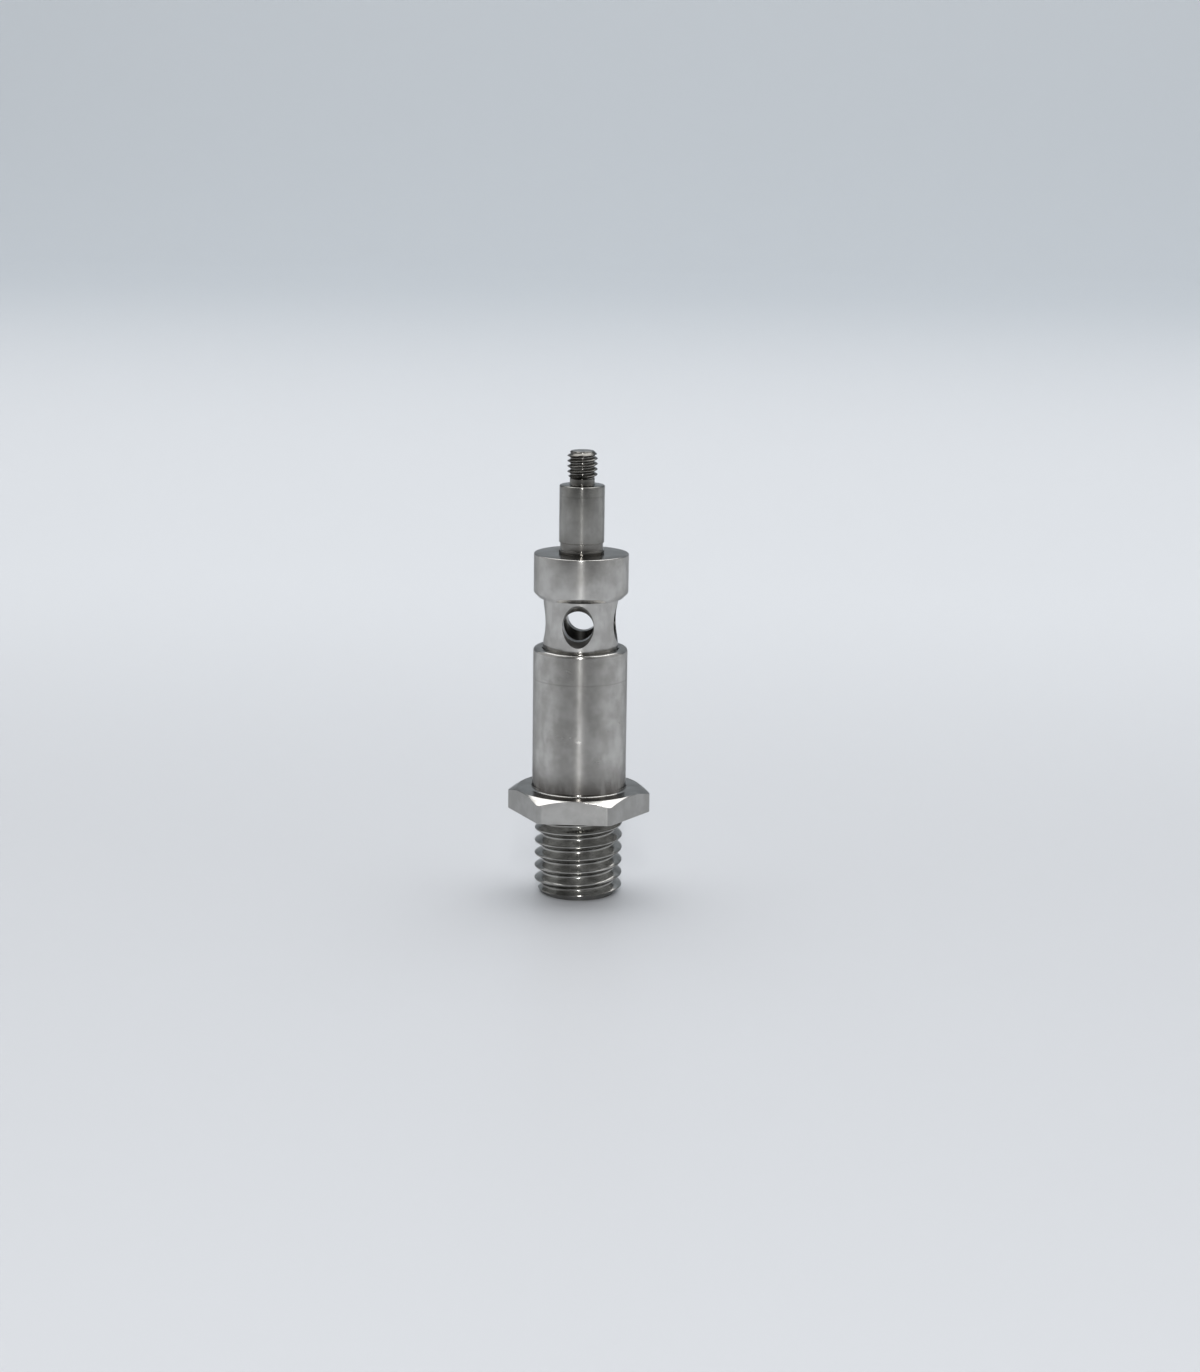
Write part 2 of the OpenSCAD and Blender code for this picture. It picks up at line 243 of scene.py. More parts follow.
# cold drawn faces of the hex: no tool marks, only a fine grain along z and faint clouds
def drawnSteel(name, look):
    material, graph = startMaterial(name)
    place = graph.node("ShaderNodeTexCoord", out=3)
    body = graph.node("ShaderNodeVectorMath", {"operation": "SCALE"}, {0: place, 3: 1 / mm})
    x, y, z = graph.parts(body)
    cloud = graph.noise(body, look["cloudScale"], 4.0, 0.6)
    grain = graph.noise(graph.vector(x, y, z * look["grainStretch"]), look["grainScale"], 2.0)
    colour = graph.blend(cloud.ramp(*look["cloudRange"]), look["dull"], look["bright"])
    rough = look["rough"] + (cloud - 0.5) * look["cloudRough"] + (grain - 0.5) * look["grainRough"]
    bump = graph.node("ShaderNodeBump", {}, {"Strength": 1.0, "Distance": look["grainDepth"] * mm,
                                             "Height": grain})
    finishMaterial(graph, {"Base Color": colour, "Roughness": rough, "Normal": bump},
                   {"Metallic": 1.0, "Specular Tint": look["edgeTint"]})
    return material


# the finishes without tool marks; grain is per mm and depth is in mm
plainLooks = {
    "lappedSteel": dict(light=(0.66, 0.65, 0.63, 1), dark=(0.58, 0.57, 0.55, 1), metal=1.0,
                        rough=0.18, grain=7.0, depth=0.0006),
    "springWire": dict(light=(0.52, 0.51, 0.49, 1), dark=(0.38, 0.37, 0.36, 1), metal=1.0,
                       rough=0.3, grain=5.0, depth=0.0012),
    "blackRubber": dict(light=(0.03, 0.03, 0.03, 1), dark=(0.016, 0.016, 0.017, 1), metal=0.0,
                        rough=0.52, grain=9.0, depth=0.004),
    "thrustBronze": dict(light=(0.68, 0.45, 0.22, 1), dark=(0.5, 0.31, 0.15, 1), metal=1.0,
                         rough=0.3, grain=6.0, depth=0.001),
    "naturalNylon": dict(light=(0.83, 0.81, 0.74, 1), dark=(0.74, 0.72, 0.64, 1), metal=0.0,
                         rough=0.45, grain=4.0, depth=0.003),
}


# clouds and roughness that the plain finishes share
plainWear = dict(cloudScale=0.8, cloudRange=(0.35, 0.65), cloudRough=0.12, grainRough=0.1)


def plainFinish(name, look):
    material, graph = startMaterial(name)
    place = graph.node("ShaderNodeTexCoord", out=3)
    body = graph.node("ShaderNodeVectorMath", {"operation": "SCALE"}, {0: place, 3: 1 / mm})
    cloud = graph.noise(body, plainWear["cloudScale"], 4.0, 0.6)
    grain = graph.noise(body, look["grain"], 3.0)
    colour = graph.blend(cloud.ramp(*plainWear["cloudRange"]), look["dark"], look["light"])
    rough = look["rough"] + (cloud - 0.5) * plainWear["cloudRough"] \
        + (grain - 0.5) * plainWear["grainRough"]
    bump = graph.node("ShaderNodeBump", {}, {"Strength": 1.0, "Distance": look["depth"] * mm,
                                             "Height": grain})
    finishMaterial(graph, {"Base Color": colour, "Roughness": rough, "Normal": bump},
                   {"Metallic": look["metal"]})
    return material


materials = {"turned": turnedSteel("turnedSteel", turnedLook),
             "stem": turnedSteel("stemSteel", stemLook),
             "thread": turnedSteel("threadSteel", threadLook),
             "stud": turnedSteel("studSteel", studLook),
             "port": turnedSteel("portShadeSteel", portShadeLook),
             "drawn": drawnSteel("drawnSteel", flatLook)}
for finish, look in plainLooks.items():
    materials[finish] = plainFinish(finish, look)
print("materials made:", len(materials))


# an empty tree with these named inputs
def newTree(name, inputs):
    tree = bpy.data.node_groups.new(name, "GeometryNodeTree")
    tree.interface.new_socket("Geometry", in_out="OUTPUT", socket_type="NodeSocketGeometry")
    for label, kind in inputs.items():
        tree.interface.new_socket(label, in_out="INPUT", socket_type=kind)
    graph = Graph(tree)
    start = tree.nodes.new("NodeGroupInput")
    given = {socket.name: Wire(graph, socket) for socket in start.outputs if socket.name}
    return tree, graph, given


# the metric thread's profile in pitches, out from the middle of its crest
threadForm = dict(crest=1 / 16, flank=5 / 16, root=2 / 16, depth=0.5413, hollow=0.05)


# a helical thread as a band of faces between two levels, open at both ends, metres
def threadTree():
    floats = ["low", "high", "crest", "pitch", "side", "shift", "lowRadius", "lowSlope",
              "highRadius", "highSlope"]
    kinds = {label: "NodeSocketFloat" for label in floats}
    kinds.update(columns="NodeSocketInt", rows="NodeSocketInt", finish="NodeSocketMaterial")
    tree, graph, given = newTree("helicalThread", kinds)
    pitch, side = given["pitch"], given["side"]
    firstTurn = (given["low"] / pitch).floor() - 1
    turns = (given["high"] / pitch).ceil() + 1 - firstTurn
    grid = graph.node("GeometryNodeMeshGrid", {}, {
        "Size X": 2 * pi, "Size Y": turns, "Vertices X": given["columns"] + 1,
        "Vertices Y": turns * given["rows"] + 1})
    across, up, _ = graph.parts(graph.node("GeometryNodeInputPosition"))
    turned = across / (2 * pi) + 0.5                       # share of a turn, 0 to 1
    level = ((firstTurn + turns / 2 + up + turned) * pitch).most(given["low"]).least(given["high"])
    phase = level / pitch - turned + given["shift"]
    off = ((phase + 0.5).fract() - 0.5).abs()              # distance from the crest, in pitches
    form = threadForm
    flank = ((off - form["crest"]) * (1 / form["flank"])).most(0).least(1)
    hollow = ((off - form["crest"] - form["flank"]) * (1 / form["root"])).most(0)
    depth = (flank * form["depth"] + (1 - (1 - hollow) * (1 - hollow)) * form["hollow"]) * pitch
    shaped = (given["crest"] - side * depth) * side
    lowLimit = (given["lowRadius"] + (level - given["low"]) * given["lowSlope"] * side) * side
    highLimit = (given["highRadius"] + (given["high"] - level) * given["highSlope"] * side) * side
    radius = shaped.least(lowLimit).least(highLimit) * side
    angle = turned * (2 * pi)
    spot = graph.vector(radius * angle.cos(), radius * angle.sin(), level)
    moved = graph.node("GeometryNodeSetPosition", {}, {"Geometry": grid, "Position": spot})
    merged = graph.node("GeometryNodeMergeByDistance", {}, {"Geometry": moved, "Distance": 1e-6})
    real = graph.node("GeometryNodeRealizeInstances", {}, {"Geometry": merged})
    ended = graph.node("GeometryNodeSetMaterial", {}, {"Geometry": real, "Material": given["finish"]})
    last = tree.nodes.new("NodeGroupOutput")
    graph.feed(last.inputs[0], ended)
    return tree


# a compression spring: one closed turn at each end and open ones between them, metres
def springTree():
    kinds = {label: "NodeSocketFloat" for label in ["low", "high", "coilRadius", "wireRadius", "open"]}
    kinds.update(steps="NodeSocketInt", sides="NodeSocketInt", finish="NodeSocketMaterial")
    tree, graph, given = newTree("coilSpring", kinds)
    wire = given["wireRadius"] * 2
    turns = given["open"] + 2
    line = graph.node("GeometryNodeMeshLine", {}, {"Count": turns * given["steps"] + 1})
    path = graph.node("GeometryNodeMeshToCurve", {}, {"Mesh": line})
    turn = graph.node("GeometryNodeInputIndex") / given["steps"]
    rise = given["high"] - given["low"] - wire * 3
    opened = (turn - 1).most(0).least(given["open"]) / given["open"]
    closed = (turn.least(1) + (turn - 1 - given["open"]).most(0)) * wire
    level = given["low"] + given["wireRadius"] + closed + opened * rise
    angle = turn * (2 * pi)
    spot = graph.vector(given["coilRadius"] * angle.cos(), given["coilRadius"] * angle.sin(), level)
    coil = graph.node("GeometryNodeSetPosition", {}, {"Geometry": path, "Position": spot})
    ring = graph.node("GeometryNodeCurvePrimitiveCircle", {}, {"Resolution": given["sides"],
                                                               "Radius": given["wireRadius"]})
    swept = graph.node("GeometryNodeCurveToMesh", {}, {"Curve": coil, "Profile Curve": ring,
                                                       "Fill Caps": True})
    merged = graph.node("GeometryNodeMergeByDistance", {}, {"Geometry": swept, "Distance": 1e-6})
    real = graph.node("GeometryNodeRealizeInstances", {}, {"Geometry": merged})
    ended = graph.node("GeometryNodeSetMaterial", {}, {"Geometry": real, "Material": given["finish"]})
    last = tree.nodes.new("NodeGroupOutput")
    graph.feed(last.inputs[0], ended)
    return tree


trees = {"thread": threadTree(), "spring": springTree()}
print("node trees made:", len(trees))


# runs a tree with these inputs and gives back its plain mesh
def grown(treeName, values):
    tree = trees[treeName]
    carrier = bpy.data.objects.new("carrier", bpy.data.meshes.new("carrier"))
    bpy.context.scene.collection.objects.link(carrier)
    modifier = carrier.modifiers.new("grow", "NODES")
    modifier.node_group = tree
    for item in tree.interface.items_tree:
        if item.in_out == "INPUT":
            modifier[item.identifier] = values[item.name]
    evaluated = carrier.evaluated_get(bpy.context.evaluated_depsgraph_get())
    mesh = bpy.data.meshes.new_from_object(evaluated)
    bpy.data.objects.remove(carrier)
    return mesh


def threadBand(bm, spec, columns):
    values = dict(low=spec["low"] * mm, high=spec["high"] * mm, crest=spec["crest"] * mm,
                  pitch=spec["pitch"] * mm, side=spec.get("side", 1.0), shift=spec.get("shift", 0.0),
                  lowRadius=spec["lowRadius"] * mm, lowSlope=spec["lowSlope"],
                  highRadius=spec["highRadius"] * mm, highSlope=spec["highSlope"],
                  columns=columns, rows=16, finish=materials["turned"])
    mesh = grown("thread", values)
    bm.from_mesh(mesh)
    bpy.data.meshes.remove(mesh)


threadShare = 0.6       # how deep a thread is cut, as a share of its pitch


# corners are (radius, level) or (radius, level, rounding); the rounding becomes a short arc,
# which takes up at most this share of the edges beside it
def outline(corners, steps=4, share=0.48):
    points = []
    for i, corner in enumerate(corners):
        here = Vector(corner[:2])
        rounding = corner[2] if len(corner) > 2 else 0
        if rounding == 0 or i in (0, len(corners) - 1):
            points.append(tuple(here))
            continue
        back = Vector(corners[i - 1][:2]) - here
        ahead = Vector(corners[i + 1][:2]) - here
        half = back.angle(ahead) / 2
        reach = min(rounding / tan(half), back.length * share, ahead.length * share)
        centre = here + (back.normalized() + ahead.normalized()).normalized() * reach / cos(half)
        first, last = here + back.normalized() * reach - centre, here + ahead.normalized() * reach - centre
        sweep = first.angle_signed(last)
        for k in range(steps + 1):
            spot = first.copy()
            spot.rotate(Matrix.Rotation(-sweep * k / steps, 2))
            points.append(tuple(centre + spot))
    return points


# turns an outline round the axis; a function of the angle can be given in place of a list
def turn(bm, shape, columns, closed=False):
    rings = []
    for j in range(columns):
        angle = 2 * pi * j / columns
        points = shape(angle) if callable(shape) else shape
        column = []
        for i, (radius, level) in enumerate(points):
            if radius < 1e-6 and rings:
                column.append(rings[0][i])
            else:
                spot = (radius * mm * cos(angle), radius * mm * sin(angle), level * mm)
                column.append(bm.verts.new(spot))
        rings.append(column)
    count = len(rings[0])
    for j in range(columns):
        here, there = rings[j], rings[(j + 1) % columns]
        for i in range(count if closed else count - 1):
            k = (i + 1) % count
            corners = []
            for vert in (here[i], there[i], there[k], here[k]):
                if vert not in corners:
                    corners.append(vert)
            if len(corners) > 2:
                bm.faces.new(corners)


seamGap, sliver = 1.5e-6, 1e-7      # points this near are one, and faces this thin go, metres
sharpAngle = 25                     # edges turn sharp past this many degrees


# merges the seams and turns the faces outwards
def closeUp(bm):
    bmesh.ops.remove_doubles(bm, verts=bm.verts, dist=seamGap)
    bmesh.ops.dissolve_degenerate(bm, edges=bm.edges, dist=sliver)
    bmesh.ops.recalc_face_normals(bm, faces=bm.faces)


# closes a mesh up, marks its sharp edges and makes it an object
def finishPiece(name, bm, finishes, body, nodes, indexFor=None):
    closeUp(bm)
    for face in bm.faces:
        face.smooth = True
        face.material_index = indexFor(face) if indexFor else 0
    for edge in bm.edges:
        edge.smooth = edge.calc_face_angle(0) < radians(sharpAngle)
    mesh = bpy.data.meshes.new(name)
    bm.to_mesh(mesh)
    openEdges = sum(1 for edge in bm.edges if len(edge.link_faces) != 2)
    bm.free()
    for finish in finishes:
        mesh.materials.append(materials[finish])
    piece = bpy.data.objects.new(name, mesh)
    bpy.context.scene.collection.objects.link(piece)
    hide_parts(*nodes)
    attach(piece, body)
    print("piece", name, len(mesh.polygons), "faces, open edges", openEdges)
    return piece


def cutWith(bm, cutters):
    # takes each cutter mesh out of the closed shape
    closeUp(bm)
    mesh = bpy.data.meshes.new("whole")
    bm.to_mesh(mesh)
    whole = bpy.data.objects.new("whole", mesh)
    bpy.context.scene.collection.objects.link(whole)
    tools = []
    for cutter in cutters:
        bmesh.ops.recalc_face_normals(cutter, faces=cutter.faces)
        toolMesh = bpy.data.meshes.new("tool")
        cutter.to_mesh(toolMesh)
        cutter.free()
        tool = bpy.data.objects.new("tool", toolMesh)
        bpy.context.scene.collection.objects.link(tool)
        modifier = whole.modifiers.new("cut", "BOOLEAN")
        modifier.operation, modifier.solver, modifier.object = "DIFFERENCE", "MANIFOLD", tool
        tools.append(tool)
    bpy.context.view_layer.update()
    evaluated = whole.evaluated_get(bpy.context.evaluated_depsgraph_get())
    result = bpy.data.meshes.new_from_object(evaluated)
    bm.clear()
    bm.from_mesh(result)
    for thing in tools + [whole]:
        bpy.data.objects.remove(thing)
    bpy.data.meshes.remove(result)


# sizes of the seat nozzle, mm; the body's pocket and bore follow them
nozzle = dict(outside=6.99, bore=4.6, inlet=4.99, inletTaper=0.5, lipWidth=0.5, press=3.2, columns=192)

# sizes of the inlet body, mm and degrees
body = dict(thread=12, pitch=1.75, threadLength=11.4, relief=0.6, crestShort=0.1, phase=0.41,
            seatGap=0.06, hexAcross=16.8, hexHeight=3.2, cornerTurn=0.14, hexSlope=30, topInset=0.1,
            barrel=12.6, topRound=0.45, footFillet=0.4, wall=1.26, chamber=8.6, floorRise=0.6,
            boreBreak=0.5, adjustPitch=1, femaleDrop=2.0, femaleStop=2.1, runIn=0.5, reliefEnd=0.2,
            mouthBreak=0.2, columns=360)


def hexRadius(angle, across, cornerRadius):
    # distance out to the hex's side, with its corners turned down
    fromFlat = (degrees(angle) % 60) - 30
    return min(across / 2 / cos(radians(fromFlat)), cornerRadius)


def makeInletBody(s):
    top = high("inlet_body")
    hexLow = s["threadLength"]
    hexHigh = hexLow + s["hexHeight"]
    threadRadius, barrelRadius = s["thread"] / 2, s["barrel"] / 2
    crest = threadRadius - s["crestShort"]
    rootRadius = crest - threadShare * s["pitch"]
    cornerRadius = s["hexAcross"] / sqrt(3) - s["cornerTurn"]
    topRadius = s["hexAcross"] / 2 - s["topInset"]
    mouth = barrelRadius - s["wall"]
    floor = hexLow + s["floorRise"]
    nozzleLow = floor - nozzle["press"]
    pocket, bore = nozzle["outside"] / 2, nozzle["inlet"] / 2
    femaleLow = low("vent_head") - s["femaleDrop"]
    femaleHigh = low("head_o_ring") - s["femaleStop"]
    reliefLow = hexLow - s["relief"]
    seatEdge = threadRadius + s["seatGap"]

    def outside(angle):
        side = hexRadius(angle, s["hexAcross"], cornerRadius)
        edgeLevel = hexHigh - max(side - topRadius, 0) * tan(radians(s["hexSlope"]))
        return outline([(rootRadius, reliefLow), (rootRadius, hexLow - s["reliefEnd"], 0.08),
                        (seatEdge, hexLow, 0.03), (side, hexLow, 0.06),
                        (side, edgeLevel, 0.05), (topRadius, hexHigh, 0.1),
                        (barrelRadius, hexHigh, s["footFillet"]), (barrelRadius, top, s["topRound"]),
                        (mouth + s["mouthBreak"], top, 0.05), (mouth, top - s["mouthBreak"], 0.05),
                        (mouth, femaleHigh)])

    bandLow = femaleLow + s["runIn"]
    inside = outline([(mouth, bandLow), (mouth, femaleLow), (s["chamber"] / 2, femaleLow),
                      (s["chamber"] / 2, floor, 0.1), (pocket, floor), (pocket, nozzleLow),
                      (bore, nozzleLow), (bore, s["boreBreak"]), (bore + s["boreBreak"], 0, 0.05),
                      (rootRadius, 0)])
    bm = bmesh.new()
    threadBand(bm, dict(low=0, high=reliefLow, crest=crest, pitch=s["pitch"], shift=s["phase"],
                        lowRadius=rootRadius, lowSlope=1.0, highRadius=rootRadius, highSlope=1.2),
               s["columns"])
    threadBand(bm, dict(low=bandLow, high=femaleHigh, crest=mouth - threadShare * s["adjustPitch"],
                        pitch=s["adjustPitch"], side=-1.0, shift=0.5, lowRadius=mouth, lowSlope=1.0,
                        highRadius=mouth, highSlope=1.0), s["columns"])
    turn(bm, outside, s["columns"])
    turn(bm, inside, s["columns"])

    def finishOf(face):
        middle = face.calc_center_median() / mm
        out = middle.xy.length
        if hexLow + 0.05 < middle.z < hexHigh and out > barrelRadius + 1 and abs(face.normal.z) < 0.1:
            return 1
        return 2 if middle.z < hexLow and out > rootRadius - 0.5 else 0

    return finishPiece("inletBody", bm, ["turned", "drawn", "thread"], "body",
                       ["inlet_body"], finishOf)


makeInletBody(body)


def makeSeatNozzle(s):
    bottom, top = low("seat_nozzle"), high("seat_nozzle")
    outer, bore = s["outside"] / 2, s["bore"] / 2
    floor = bottom + s["press"]
    taperEnd = bottom + s["inletTaper"]
    bm = bmesh.new()
    turn(bm, outline([(bore, taperEnd), (s["inlet"] / 2, bottom), (outer, bottom, 0.15),
                      (outer, floor), (bore + s["lipWidth"], top, 0.04), (bore, top, 0.04),
                      (bore, taperEnd)])[:-1], s["columns"], closed=True)
    return finishPiece("seatNozzle", bm, ["lappedSteel"], "body", ["seat_nozzle"])


# sizes of the poppet, mm, and of the screw that holds its soft seal
poppet = dict(sealMargin=0.75, land=2.7, spigot=6.0, flutes=6, fluteCutter=2.4, fluteWall=0.1,
              flutePast=0.1, holePast=0.2, columns=192)
screw = dict(head=3.2, headRound=0.25, shank=2.0, pitch=0.4, plain=0.1, tip=0.02, boreGap=0.02,
             slotWidth=0.4, slotDepth=0.4, slotPast=1.6, columns=192)


def makePoppet(s):
    face, top = low("poppet"), high("poppet")
    shoulder = face + s["land"]
    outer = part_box("poppet")[1][0] / mm
    seal = nozzle["bore"] / 2 + nozzle["lipWidth"] + s["sealMargin"]
    recess = high("seal_disc")
    hole, holeTop = screw["shank"] / 2, shoulder + s["holePast"]
    bm = bmesh.new()
    turn(bm, outline([(0, holeTop), (hole, holeTop), (hole, recess), (seal, recess),
                      (seal, face), (outer, face, 0.15), (outer, shoulder, 0.08),
                      (s["spigot"] / 2, shoulder), (s["spigot"] / 2, top, 0.2), (0, top)]), s["columns"])
    cutters = []
    cutterRadius = s["fluteCutter"] / 2
    reach = seal + s["fluteWall"] + cutterRadius
    depth = s["land"] + 2 * s["flutePast"]
    for i in range(s["flutes"]):
        angle = 2 * pi * (i + 0.5) / s["flutes"]
        cutter = bmesh.new()
        spot = Matrix.Translation((reach * cos(angle) * mm, reach * sin(angle) * mm,
                                   (face + shoulder) / 2 * mm))
        bmesh.ops.create_cone(cutter, cap_ends=True, segments=48, radius1=cutterRadius * mm,
                              radius2=cutterRadius * mm, depth=depth * mm, matrix=spot)
        cutters.append(cutter)
    cutWith(bm, cutters)
    return finishPiece("poppetPiston", bm, ["turned"], "poppet", ["poppet"])


# a flat ring with rounded edges, the size of its CAD node
def makeRing(name, node, inner, finish, rides, rounding, columns):
    bottom, top = low(node), high(node)
    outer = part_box(node)[1][0] / mm
    middle = (bottom + top) / 2
    bm = bmesh.new()
    turn(bm, outline([(inner, middle), (inner, bottom, rounding), (outer, bottom, rounding),
                      (outer, top, rounding), (inner, top, rounding), (inner, middle)])[:-1],
         columns, closed=True)
    return finishPiece(name, bm, [finish], rides, [node])


def makeSealScrew(s):
    bottom, top = low("seal_screw"), high("seal_screw") - s["tip"]
    head, shank = s["head"] / 2, s["shank"] / 2
    under = low("seal_washer")
    threadLow = high("seal_washer") + s["plain"]
    root = shank - threadShare * s["pitch"]
    bm = bmesh.new()
    turn(bm, outline([(0, bottom), (head, bottom, s["headRound"]), (head, under, 0.03), (root, under),
                      (root, threadLow)]), s["columns"])
    threadBand(bm, dict(low=threadLow, high=top, crest=shank, pitch=s["pitch"], lowRadius=root,
                        lowSlope=1.0, highRadius=root, highSlope=1.0), s["columns"])
    turn(bm, [(root, top), (0, top)], s["columns"])
    slotCutter = bmesh.new()
    length = s["head"] + 2 * s["slotPast"]
    size = Matrix.Diagonal((length * mm, s["slotWidth"] * mm, 2 * s["slotDepth"] * mm, 1))
    bmesh.ops.create_cube(slotCutter, size=1, matrix=Matrix.Translation((0, 0, bottom * mm)) @ size)
    cutWith(bm, [slotCutter])
    return finishPiece("sealScrew", bm, ["lappedSteel"], "poppet", ["seal_screw"])


makeSeatNozzle(nozzle)
makePoppet(poppet)
sealBore = screw["shank"] / 2 + screw["boreGap"]
makeRing("sealDisc", "seal_disc", sealBore, "blackRubber", "poppet", 0.06, 192)
makeRing("sealWasher", "seal_washer", sealBore, "lappedSteel", "poppet", 0.05, 128)
makeSealScrew(screw)


# sizes of the spring and of the plate above it, mm
spring = dict(wire=0.8, openTurns=4, stepsPerTurn=64, sides=20)
plate = dict(bore=4.4, washerGap=0.2, spigot=6.0, spigotLength=1.8, columns=192)


def makeSpring(s):
    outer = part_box("spring")[1][0] / mm
    values = dict(low=low("spring") * mm, high=high("spring") * mm, wireRadius=s["wire"] / 2 * mm,
                  coilRadius=(outer - s["wire"] / 2) * mm, open=float(s["openTurns"]),
                  steps=s["stepsPerTurn"], sides=s["sides"], finish=materials["springWire"])
    mesh = grown("spring", values)
    bm = bmesh.new()
    bm.from_mesh(mesh)
    piece = finishPiece("coilSpring", bm, ["springWire"], "poppet", ["spring"])
    # the spring rides on the poppet; how far it would shorten as the poppet lifts is worked out but not
    # applied
    joints = frame["record"]["behaviour"]["joints"]
    lift = next(joint for joint in joints if joint["name"] == "poppet_lift")["range_m"][1] / mm
    length = high("spring") - low("spring")
    1 - lift / length
    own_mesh(piece)
    return piece


def makeSpringPlate(s):
    bottom, top = low("spring_plate"), high("spring_plate")
    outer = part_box("spring_plate")[1][0] / mm
    under = bottom + s["spigotLength"]
    bore, spigot = s["bore"] / 2, s["spigot"] / 2
    middle = (bottom + top) / 2
    bm = bmesh.new()
    turn(bm, outline([(bore, middle), (bore, bottom, 0.1), (spigot, bottom, 0.2), (spigot, under, 0.1),
                      (outer, under, 0.08), (outer, top, 0.08), (bore, top, 0.1), (bore, middle)])[:-1],
         s["columns"], closed=True)
    return finishPiece("springPlate", bm, ["turned"], "spring_seat", ["spring_plate"])


makeSpring(spring)
makeSpringPlate(plate)
thrustBore = plate["bore"] / 2 + plate["washerGap"]
makeRing("thrustWasher", "thrust_washer", thrustBore, "thrustBronze", "spring_seat", 0.06, 192)


# sizes of the vent head, mm and degrees, and of the O-ring and the pellet that it holds, mm
head = dict(neck=9.96, wall=1.78, pitch=1, threadLength=4.0, cap=12.6, capHeight=5.9,
            capChamfer=0.7, capEdge=0.15, port=4.1, ports=4, portTopGap=0.4, portSink=0.46, sinkAngle=60,
            cutterStart=1, cutterPast=0.4, cutterTwist=1.3, holeBreak=0.03, runOut=0.3, web=1.2,
            shank=3.6, pelletHole=1.5, pelletFloor=0.66, pelletCutter=3, columns=192)
ring = dict(width=0.8, gap=0.1, steps=32, columns=192)
pellet = dict(innerRound=0.1, outerRound=0.2, columns=64)


# a port's cutter: a drill that ends in a wide countersink on the outside of the neck
def portCutter(s, angle, level):
    neck, port = s["neck"] / 2, s["port"] / 2
    spread = s["portSink"] * tan(radians(s["sinkAngle"]))
    start, past = s["cutterStart"], neck + s["cutterPast"]
    sink, small = neck - s["portSink"], s["holeBreak"]
    bm = bmesh.new()
    turn(bm, [(0, start), (port, start), (port, sink - small), (port + small, sink), (port + spread, neck),
              (port + spread, past), (0, past)], 96)
    # a small turn about its own axis keeps its corners off the corners of the neck
    aim = Matrix.Translation((0, 0, level * mm)) @ Matrix.Rotation(angle, 4, "Z") \
        @ Matrix.Rotation(pi / 2, 4, "Y") @ Matrix.Rotation(radians(s["cutterTwist"]), 4, "Z")
    bmesh.ops.transform(bm, verts=bm.verts, matrix=aim)
    return bm


def makeVentHead(s):
    bottom, top = low("vent_head"), high("vent_head")
    neck, cap = s["neck"] / 2, s["cap"] / 2
    bore, shank = neck - s["wall"], s["shank"] / 2
    root = neck - threadShare * s["pitch"]
    capLow = top - s["capHeight"]
    threadHigh = bottom + s["threadLength"] - s["runOut"]
    groove = (low("head_o_ring") - ring["gap"], high("head_o_ring") + ring["gap"])
    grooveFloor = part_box("head_o_ring")[1][0] / mm - ring["width"]
    socket = low("stem")
    bm = bmesh.new()
    threadBand(bm, dict(low=bottom, high=threadHigh, crest=neck, pitch=s["pitch"], lowRadius=root,
                        lowSlope=1.0, highRadius=root, highSlope=1.2), s["columns"])
    plain = threadHigh + s["runOut"]
    turn(bm, outline([(root, threadHigh), (root, plain), (neck, plain), (neck, groove[0], 0.06),
                      (grooveFloor, groove[0], 0.1), (grooveFloor, groove[1], 0.1),
                      (neck, groove[1], 0.06), (neck, capLow, 0.12),
                      (cap - s["capChamfer"], capLow, 0.1), (cap, capLow + s["capChamfer"], 0.3),
                      (cap, top, s["capEdge"]), (shank, top, 0.05), (shank, socket), (0, socket)]),
         s["columns"])
    turn(bm, outline([(0, socket - s["web"]), (bore, socket - s["web"]), (bore, bottom, 0.1),
                      (root, bottom)]), s["columns"])
    spread = s["portSink"] * tan(radians(s["sinkAngle"]))
    portLevel = capLow - s["portTopGap"] - spread - s["port"] / 2
    cutters = [portCutter(s, pi / 2 * (i + 3), portLevel) for i in range(s["ports"])]
    hole = bmesh.new()
    middle = bore + s["pelletFloor"] + s["pelletCutter"] / 2
    pelletLevel = bottom + s["threadLength"] / 2
    place = Matrix.Translation((middle * mm, 0, pelletLevel * mm)) @ Matrix.Rotation(pi / 2, 4, "Y")
    radius = s["pelletHole"] / 2 * mm
    bmesh.ops.create_cone(hole, cap_ends=True, segments=48, radius1=radius, radius2=radius,
                          depth=s["pelletCutter"] * mm, matrix=place)
    cutWith(bm, cutters + [hole])

    # the drilled faces take the dark port finish, painted shade inside the holes and countersinks
    def finishOf(face):
        middle = face.calc_center_median() / mm
        facing = face.normal.xy.dot(middle.xy.normalized())
        drilled = abs(middle.z - portLevel) < s["port"] / 2 + spread + 0.05
        return 1 if drilled and middle.xy.length > bore + 0.02 and facing < 0.95 else 0

    return finishPiece("ventHead", bm, ["turned", "port"], "head", ["vent_head"], finishOf)


# the O-ring as it sits squeezed in its groove
def makeOring(s):
    bottom, top = low("head_o_ring"), high("head_o_ring")
    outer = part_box("head_o_ring")[1][0] / mm
    half = s["width"] / 2
    middle = outer - half
    lift = (top - bottom) / 2 - half
    section = []
    for k in range(s["steps"]):
        a = 2 * pi * k / s["steps"]
        rise = lift if sin(a) > 0 else -lift
        section.append((middle + half * cos(a), (bottom + top) / 2 + rise + half * sin(a)))
    bm = bmesh.new()
    turn(bm, section, s["columns"], closed=True)
    return finishPiece("headRing", bm, ["blackRubber"], "head", ["head_o_ring"])


